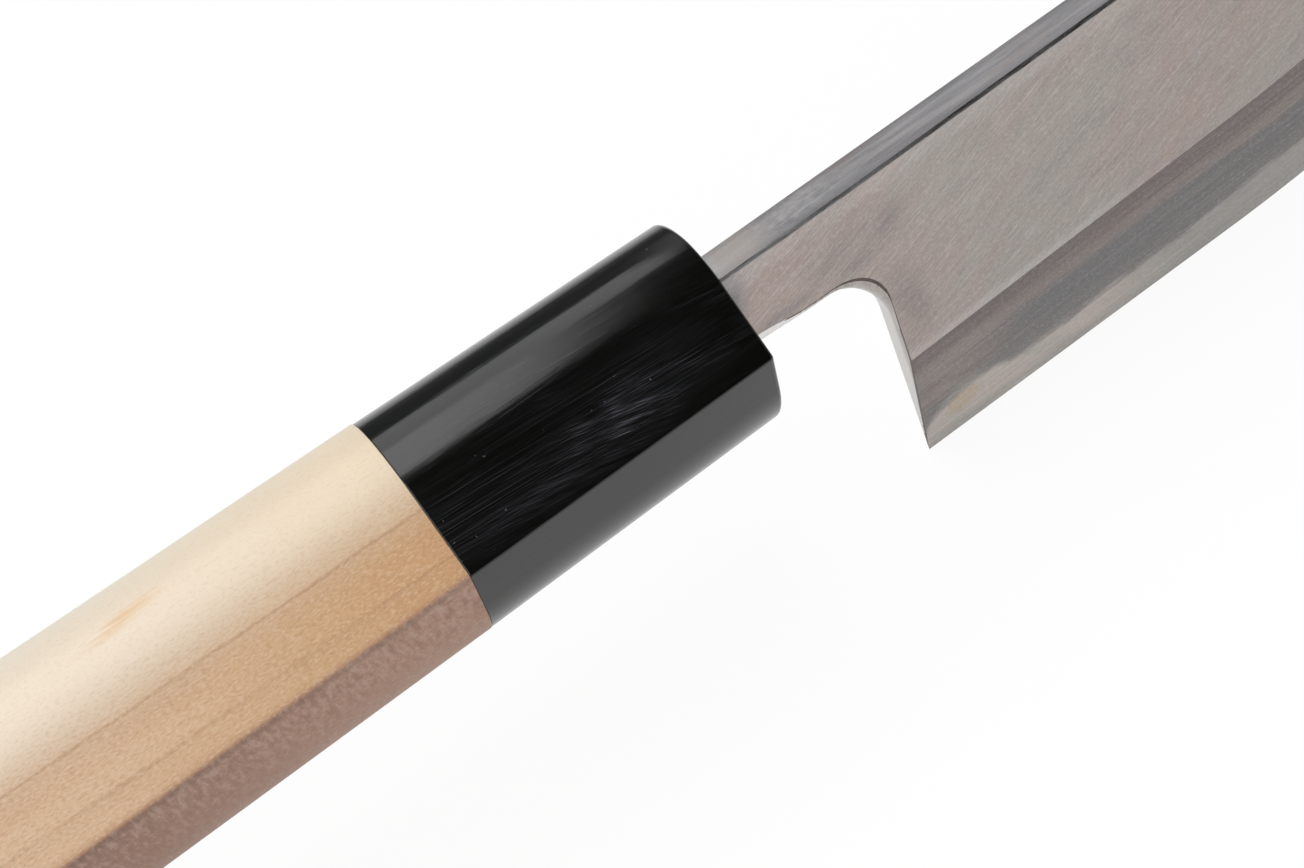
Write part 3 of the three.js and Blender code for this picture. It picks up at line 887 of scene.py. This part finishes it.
def black_horn(finishes):
    """Polished black horn: lengthwise fibres, laid-over scratches and a scuffed patch on the upper facet."""
    hairline, rubbed, drawn_out = (0.06, 0.00008, 0.05), (0.06, 0.00009, 0.05), (0.03, 0.00008, 0.05)
    scuff_at, low_scuff_at, shoulder_at = ((-0.0345, -0.0118, -0.0012), (-0.043, -0.0134, -0.002),
                                           (-0.042, -0.0064, 0.0056))
    middle_low, middle_high, drawn_from = (-0.0036, -0.0012), (0.0046, 0.0018), (-0.0195, -0.028)
    bump_strength, bump_height = 0.22, 0.00005
    material, sockets, coords = start_finish("black_horn", {"IOR": 1.5})

    def marks(sizes, turn, low, high, detail=1.0):
        return coords.noise(sizes, lay(UPPER_FACET, turn), detail).between(low, high)

    def area(at, sizes, turn):
        return coords.spot(at, sizes, lay(UPPER_FACET, turn))
    fibre = coords.noise((0.04, 0.0007, 0.0007), lay(UPPER_FACET), 3.0, 0.6)
    along = marks((0.03, 0.00013, 0.00013), -1, 0.52, 0.8, 2.0)
    patches = marks((0.012, 0.004, 0.004), -10, 0.36, 0.66, 3.0)
    dashes = marks((0.005, 0.0005, 0.02), -11, 0.4, 0.62, 2.0)
    crossed = marks(hairline, -6, 0.56, 0.76) * 0.2 + marks(hairline, -10, 0.58, 0.78) * 0.15
    rub = marks(rubbed, -12, 0.42, 0.74) + marks(rubbed, -19, 0.5, 0.76) * 0.6
    rub = rub * (dashes * 0.7 + 0.3)
    scuff = area(scuff_at, (0.0095, 0.0042, 0.006), -6) * marks((0.004, 0.0016, 0.004), -16, 0.3, 0.62, 2.0)
    low_scuff = area(low_scuff_at, (0.012, 0.003, 0.006), -4)
    up = coords.offset("Z")
    middle = up.between(*middle_low) * up.between(*middle_high)
    drawn = marks(drawn_out, -4, 0.46, 0.76) * coords.offset("X").between(*drawn_from)
    worn = (along * 0.06 + crossed * patches * dashes) * (middle * 0.8 + 0.35)
    worn = worn + drawn * middle * 0.13 + rub * (scuff * 0.62 + low_scuff * 0.12)
    shoulder = area(shoulder_at, (0.017, 0.0026, 0.006), -2).between(0, 0.4)
    fine = marks(drawn_out, -5, 0.55, 0.78) * marks((0.008, 0.0006, 0.02), -5, 0.4, 0.62, 2.0)
    worn = worn + fine * shoulder * 0.5
    specks = coords.noise((0.00035, 0.00035, 0.00035), lay(FACE), 0.0).between(0.875, 0.89)
    base = layer(finishes.horn, (fibre.between(0.45, 0.75) * 0.6, finishes.horn_pale),
                 (worn + specks * 0.4, finishes.scratch))
    base.into(sockets["Base Color"])
    (0.11 + fibre * 0.08 + worn * 0.35).into(sockets["Roughness"])
    (fibre * 0.8 + along * 0.35 + worn * 0.4).bump(bump_strength, bump_height).into(sockets["Normal"])
    return material


Grain = namedtuple("Grain", "lie fibre sand")


def handle_wood(name, finishes, tones):
    """Pale, fine-grained wood: fibres and sandy grain, on the colours that tones() gives."""
    grain_turn, bump_strength, bump_height = -0.85, 0.25, 0.00007
    material, sockets, coords = start_finish(name, {"IOR": 1.5})
    lie = lay(UPPER_FACET, grain_turn)
    fibre = coords.noise((0.006, 0.0004, 0.0004), lie, 3.0, 0.65)
    sand = coords.noise((0.0005, 0.0002, 0.0002), lie, 2.0, 0.6)
    tones(finishes, coords, Grain(lie, fibre, sand)).into(sockets["Base Color"])
    (0.5 + (fibre - 0.5) * 0.2).into(sockets["Roughness"])
    (fibre + sand).bump(bump_strength, bump_height).into(sockets["Normal"])
    return material


def end_grain(finishes, coords, grain):
    """Cut ends of the wood, with fine dark pores."""
    pores = coords.noise((0.01, 0.00025, 0.00025), grain.lie, 1.0).between(0.4, 0.7)
    return (pores * 0.5).colours(finishes.wood, finishes.wood_line)


def long_grain(finishes, coords, grain):
    """Sides of the handle: growth lines; painted sheen on top, painted shade at and below the ridge, where it
    is redder and flecked.
    """
    ridge_drop, ridge_slope, line_gap, top_start, top_slope = 0.00429, 0.0122, 0.0054, 0.09, 0.025
    growth_start, streak_at = (-0.1, -0.01581, -0.00562), (-0.0848, -0.0035, 0.0072)
    ridge_turn, ridge_shade_band, shade_under_ridge = (0.0004, -0.0002), (0.0009, 0), (-0.0013, -0.0005)
    top_band, to_front, lit_to_back = (0.0045, 0.0108), (0.004, -0.008), (-0.003, 0.003)
    to_horn, to_butt, shade = (-0.095, -0.055), (-0.055, -0.125), (-0.05, -0.125)
    lie, fibre, sand = grain
    along, depth = coords.offset("X"), coords.offset("Y")
    above_ridge = coords.offset("Z") + ridge_drop + along * ridge_slope
    below_ridge = above_ridge.between(*ridge_turn) * depth.between(*to_front)
    painted_top_sheen = (above_ridge + (along + top_start) * top_slope).between(*top_band)
    by_horn = along.between(*to_horn)
    slow = coords.noise((0.05, 0.006, 0.006), lie, 2.0)
    base = layer(slow.between(0.35, 0.65).colours(finishes.wood, finishes.wood_pale),
                 (by_horn * 0.85, finishes.wood_warm),
                 # painted sheen: the top is paler where the light falls on it
                 (painted_top_sheen, finishes.sheen_and_pale_grain),
                 # painted highlight on the round back, behind the top
                 (depth.between(*lit_to_back) * above_ridge.between(0.002, 0.006), finishes.painted_crown_light))
    base = by_horn.colours(base, finishes.wood_tan, "MULTIPLY")
    wander = coords.noise((0.03, 0.006, 0.01), lie, 3.0)
    wobble = coords.noise((0.009, 0.002, 0.01), lie, 2.0)
    growth = coords.placed((line_gap, line_gap, line_gap), lie, growth_start).split("Y")
    growth = growth + (wander - 0.5) * 0.16 + (wobble - 0.5) * 0.07 + (fibre - 0.5) * 0.05
    growth = growth.math("FRACT", growth)
    line = growth.between(0.89, 0.945) * growth.between(0.99, 0.945) * wander.between(0.25, 0.6)
    summer = growth.between(0.5, 0.97) * growth.between(1.0, 0.97)
    shown = above_ridge.between(0.0095, 0.006) * (1 - below_ridge)
    streak = coords.spot(streak_at, (0.0068, 0.0011, 0.004), lay(UPPER_FACET, 5))
    fleck = coords.noise((0.00052, 0.0016, 0.0016), lay(FACE, 6), 2.0, 0.6)
    by_ridge = below_ridge * (above_ridge.between(-0.0095, -0.003) * 0.75 + 0.25)
    return layer(base,
                 # painted shade line along the upper side of the ridge
                 (above_ridge.between(*ridge_shade_band) * 0.8, finishes.wood_ridge),
                 # painted shade: the lower facet is redder and darker, more so towards the butt
                 (below_ridge, along.between(*to_butt).colours(finishes.red_wood_and_shade, finishes.dark_wood_and_shade)),
                 ((summer * 0.17 + line * 0.5) * shown, finishes.wood_line),
                 (fibre.between(0.45, 0.8) * (0.14 - painted_top_sheen * 0.1), finishes.wood_line),
                 (sand.between(0.5, 0.7) * (0.4 - painted_top_sheen * 0.25), finishes.wood_line),
                 (sand.between(0.5, 0.3) * 0.28, finishes.sheen_and_pale_grain),
                 (streak * fibre.between(0.35, 0.6) * 0.65, finishes.wood_streak),
                 (by_ridge * fleck.between(0.5, 0.66) * 0.65, finishes.wood_fleck),
                 (by_ridge * fleck.between(0.48, 0.34) * 0.6, finishes.wood_pore),
                 # more painted shade towards the butt and just under the ridge
                 (below_ridge * along.between(*shade) * 0.16, BLACK),
                 (below_ridge * above_ridge.between(*shade_under_ridge) * 0.2, BLACK))


# Stage

def floor_paper(finishes):
    """White to the eye and to reflections, with a light shadow; plain paper to the bounced light."""
    seen_shadow, more_mirrored = 0.1, 0.35
    material = bpy.data.materials.new("floor_paper")
    material.use_nodes = True
    nodes = material.node_tree.nodes
    nodes.remove(nodes["Principled BSDF"])
    path = nodes.new("ShaderNodeLightPath").outputs
    mirrored = Wire(path["Is Glossy Ray"]) + Wire(path["Is Transmission Ray"])
    seen = mirrored + Wire(path["Is Camera Ray"])
    shadow = seen_shadow + mirrored * more_mirrored
    white = seen.node("ShaderNodeEmission", None, {"Color": (*WHITE, 1), "Strength": 1.0})
    shaded = seen.node("ShaderNodeBsdfDiffuse", None, {"Color": (*WHITE, 1)})
    paper = seen.node("ShaderNodeBsdfDiffuse", None, {"Color": (*finishes.floor, 1)})
    shown = seen.node("ShaderNodeMixShader", None, {0: shadow, 1: white, 2: shaded})
    both = seen.node("ShaderNodeMixShader", None, {0: seen, 1: paper, 2: shown})
    both.into(nodes["Material Output"].inputs["Surface"])
    return material


def set_world():
    """Room: white to the eye and along the horizon, dark in front and above, paler behind and right."""
    dark, dim, pale = (0.03, 0.03, 0.03), (0.15, 0.15, 0.16), (0.75, 0.75, 0.77)
    world = bpy.data.worlds.new("room")
    world.use_nodes = True
    nodes = world.node_tree.nodes
    ray = Wire(nodes.new("ShaderNodeTexCoord").outputs["Generated"])
    x, y, z = (ray.split(part) for part in "XYZ")
    room = y.between(-0.3, 0.5).colours(dark, dim)
    board = x.between(0.25, 0.36) * y.between(0.3, 0.5) * z.between(0.3, 0.5)
    room = board.colours(room, pale)
    path = nodes.new("ShaderNodeLightPath").outputs
    mirrored = (Wire(path["Is Glossy Ray"]) + Wire(path["Is Transmission Ray"])) * z.between(0.05, 0.02)
    seen = Wire(path["Is Camera Ray"]) + mirrored
    seen.colours(room, WHITE).into(nodes["Background"].inputs["Color"])
    bpy.context.scene.world = world


def hang_lamp(name, spot, aim, wide, deep, radiance):
    """Soft rectangular light of an even brightness."""
    lamp = bpy.data.lights.new(name, "AREA")
    lamp.shape = "RECTANGLE"
    lamp.size, lamp.size_y = wide, deep
    lamp.energy = radiance * math.pi * wide * deep
    box = bpy.data.objects.new(name, lamp)
    facing = (Vector(aim) - Vector(spot)).to_track_quat("-Z", "Y").to_matrix().to_4x4()
    box.matrix_world = Matrix.Translation(spot) @ facing
    bpy.context.scene.collection.objects.link(box)


def set_camera():
    """Camera of the photograph: above the handle's left, turned so that the knife rises to the right."""
    sensor, focal_pixels = 36, 2500
    data = bpy.data.cameras.new("camera")
    data.sensor_width = sensor
    data.lens = sensor * focal_pixels / PHOTO_WIDTH
    data.clip_start = 0.01
    camera = bpy.data.objects.new("camera", data)
    camera.location = ORIGIN + Vector((-0.077706, -0.192025, 0.161193))
    camera.rotation_euler = [math.radians(turn) for turn in (45.0461, 19.0792, -32.3071)]
    bpy.context.scene.collection.objects.link(camera)
    bpy.context.scene.camera = camera


# Operators

class DEBA_OT_body(bpy.types.Operator):
    """Forges the soft-iron body of the blade, with its neck and tang"""
    bl_idname = "deba.body"
    bl_label = "Blade Body"

    def execute(self, context):
        blade, finishes = context.scene.deba_blade, context.scene.deba_finishes
        in_ferrule, neck_steps = 0.7, 24
        neck_end = -NECK - in_ferrule * context.scene.deba_grip.wall
        looks = [ground_face(finishes, blade),
                 honed_bevel("iron_bevel", finishes),
                 spine_metal("iron_spine", finishes),
                 plain_metal("hidden_iron", finishes.ground),
                 notch_wall("iron_notch", finishes),
                 # painted shade line along the notch's edge
                 plain_metal("notch_arris", finishes.arris, 0.45),
                 plain_metal("scaled_tang", finishes.scale, 0.6, 0.3, 0.0004, change=0.4),
                 spine_line(finishes)]
        made = [iron_ring(blade, section(blade, x, -blade.height), False)
                for x in spread(neck_end, -blade.setback, neck_steps)]
        made += [iron_ring(blade, section(blade, x, edge), True) for x, edge in stations(blade)]
        bm = bmesh.new()
        wrap(bm, [ring for ring, _ in made], made[0][1])
        piece = make_piece("iron_body", bm, looks)
        cut_notch(piece, blade, looks, IRON.notch)
        draw_tang(piece, blade, neck_end, IRON.tang)
        mark_heights(piece, blade)
        settle(piece, "blade_body")
        return {"FINISHED"}


class DEBA_OT_edge(bpy.types.Operator):
    """Makes the hard-steel layer: the flat back of the blade and its cutting edge"""
    bl_idname = "deba.edge"
    bl_label = "Edge Steel"

    def execute(self, context):
        blade, finishes = context.scene.deba_blade, context.scene.deba_finishes
        looks = [honed_bevel("steel_bevel", finishes),
                 plain_metal("hidden_steel", finishes.steel),
                 spine_metal("steel_spine", finishes),
                 plain_metal("flat_rim", finishes.rim, 0.24, 0.1, 0.0001, turn=1),
                 plain_metal("hollow_back", finishes.hollow, 0.4, 0.2, 0.00018, turn=4, change=0.15),
                 notch_wall("steel_notch", finishes),
                 # painted shade line along the notch's edge
                 plain_metal("edge_arris_shade", finishes.arris, 0.45)]
        made = [steel_ring(blade, section(blade, x, edge)) for x, edge in stations(blade)]
        bm = bmesh.new()
        wrap(bm, [ring for ring, _ in made], made[0][1])
        piece = make_piece("steel_edge", bm, looks)
        cut_notch(piece, blade, looks, STEEL.notch)
        mark_heights(piece, blade)
        settle(piece, "edge_steel")
        return {"FINISHED"}


class DEBA_OT_ferrule(bpy.types.Operator):
    """Makes the horn ferrule with the slot for the neck and the socket for the handle"""
    bl_idname = "deba.ferrule"
    bl_label = "Ferrule"

    def execute(self, context):
        grip, blade = context.scene.deba_grip, context.scene.deba_blade
        proud_share, swell_steps = 0.3, 5
        outline = grip_outline(grip, grip.horn_ridge)
        front, joint = -NECK, -NECK - grip.ferrule
        socket_end = front - grip.wall
        swell = 1 + grip.horn_swell + proud_share * grip.proud / grip.top
        slot_half = (blade.spine + grip.clearance) / 2, blade.neck_height / 2 + grip.clearance
        slot_middle = Vector((-slot_half[0], -blade.neck_height / 2))
        bore = grip.tenon + grip.clearance
        rings = [slot_ring(outline, x, slot_middle, *slot_half) for x in (socket_end, front)]
        rings += reversed(rounded_end(grip, outline, front, grip.horn_full, grip.rim, 1))
        for part in spread(0, 1, swell_steps)[1:-1]:
            x = mix(front - grip.rim, joint, part)
            rings.append(grip_ring(grip, outline, x, mix(grip.horn_full, swell, part)))
        rings += rounded_end(grip, outline, joint, swell, grip.joint, -1)
        rings += [bore_ring(grip, outline, x, bore) for x in (joint, socket_end)]
        bm = bmesh.new()
        wrap(bm, rings, endless=True)
        piece = make_piece("horn_ferrule", bm, [black_horn(context.scene.deba_finishes)])
        settle(piece, "ferrule")
        return {"FINISHED"}


class DEBA_OT_handle(bpy.types.Operator):
    """Shapes the wooden handle with its tenon and tang hole"""
    bl_idname = "deba.handle"
    bl_label = "Handle"

    def execute(self, context):
        grip, blade, finishes = context.scene.deba_grip, context.scene.deba_blade, context.scene.deba_finishes
        hole_share, swell_steps, end_lean = 0.8, 24, 0.9
        hole_start, hole_tip = (0.0025, 0.0047), (0.0018, 0.0026)
        outline = grip_outline(grip, grip.wood_ridge, grip.wood_trim)
        front, joint, butt = -NECK, -NECK - grip.ferrule, -NECK - grip.whole
        tenon_end = front - grip.wall - grip.clearance
        hole_end = front - hole_share * grip.whole - grip.clearance
        neck_middle = Vector((TANG_MIDDLE, -blade.neck_height / 2))
        start = 1 + grip.horn_swell + grip.proud / grip.top
        rings = [slot_ring(outline, hole_end, axis(grip, hole_end), *hole_tip),
                 slot_ring(outline, tenon_end, neck_middle, *hole_start)]
        rings += [bore_ring(grip, outline, x, grip.tenon) for x in (tenon_end, joint)]
        rings += reversed(rounded_end(grip, outline, joint, start, grip.joint, 1))
        for part in spread(0, 1, swell_steps)[1:-1]:
            x = mix(joint - grip.joint, butt + grip.butt, part)
            swell = start + grip.wood_swell * (1 - (1 - part) ** grip.swell_ease)
            rings.append(grip_ring(grip, outline, x, swell))
        rings += rounded_end(grip, outline, butt, start + grip.wood_swell, grip.butt, -1)
        bm = bmesh.new()
        wrap(bm, rings)
        for face in bm.faces:
            face.material_index = int(face.normal.x < -end_lean)
        looks = [handle_wood("handle_wood", finishes, long_grain),
                 handle_wood("end_grain", finishes, end_grain)]
        piece = make_piece("wood_handle", bm, looks)
        settle(piece, "handle")
        return {"FINISHED"}


class DEBA_OT_stage(bpy.types.Operator):
    """Sets the floor, the light, the room and the camera"""
    bl_idname = "deba.stage"
    bl_label = "Stage"

    def execute(self, context):
        bm = bmesh.new()
        bmesh.ops.create_circle(bm, cap_ends=True, radius=40, segments=64)
        floor = make_piece("floor", bm, [floor_paper(context.scene.deba_finishes)])
        set_world()
        hang_lamp("front_softbox", (-0.2175, -0.1, 0.9), (-0.2175, -0.1, 0), 0.765, 0.67, 3.1)
        hang_lamp("back_softbox", (-0.14, 0.5925, 0.9), (-0.14, 0.5925, 0), 0.92, 0.715, 1.9)
        hang_lamp("key", (-0.55, -0.6, 0.5), (-0.05, 0, 0.03), 0.6, 0.6, 4.1)
        set_camera()
        context.scene.view_settings.view_transform = "Standard"
        return {"FINISHED"}


class DEBA_PT_knife(bpy.types.Panel):
    """Lists the pieces of the knife in the order of making"""
    bl_idname = "DEBA_PT_knife"
    bl_label = "Deba Knife"
    bl_space_type = "VIEW_3D"
    bl_region_type = "UI"
    bl_category = "Deba Knife"

    def draw(self, context):
        for operator in operators:
            self.layout.operator(operator.bl_idname)


operators = (DEBA_OT_stage, DEBA_OT_body, DEBA_OT_edge, DEBA_OT_ferrule, DEBA_OT_handle)
groups = {"deba_blade": BladeSizes, "deba_grip": GripSizes, "deba_finishes": KnifeFinishes}


def register():
    for cls in (*groups.values(), *operators, DEBA_PT_knife):
        bpy.utils.register_class(cls)
    for name, group in groups.items():
        setattr(bpy.types.Scene, name, PointerProperty(type=group))


def unregister():
    for name in groups:
        delattr(bpy.types.Scene, name)
    for cls in reversed((*groups.values(), *operators, DEBA_PT_knife)):
        bpy.utils.unregister_class(cls)


def main():
    register()
    bpy.ops.deba.stage()
    bpy.ops.deba.body()
    bpy.ops.deba.edge()
    bpy.ops.deba.ferrule()
    bpy.ops.deba.handle()


if __name__ == "__main__":
    main()
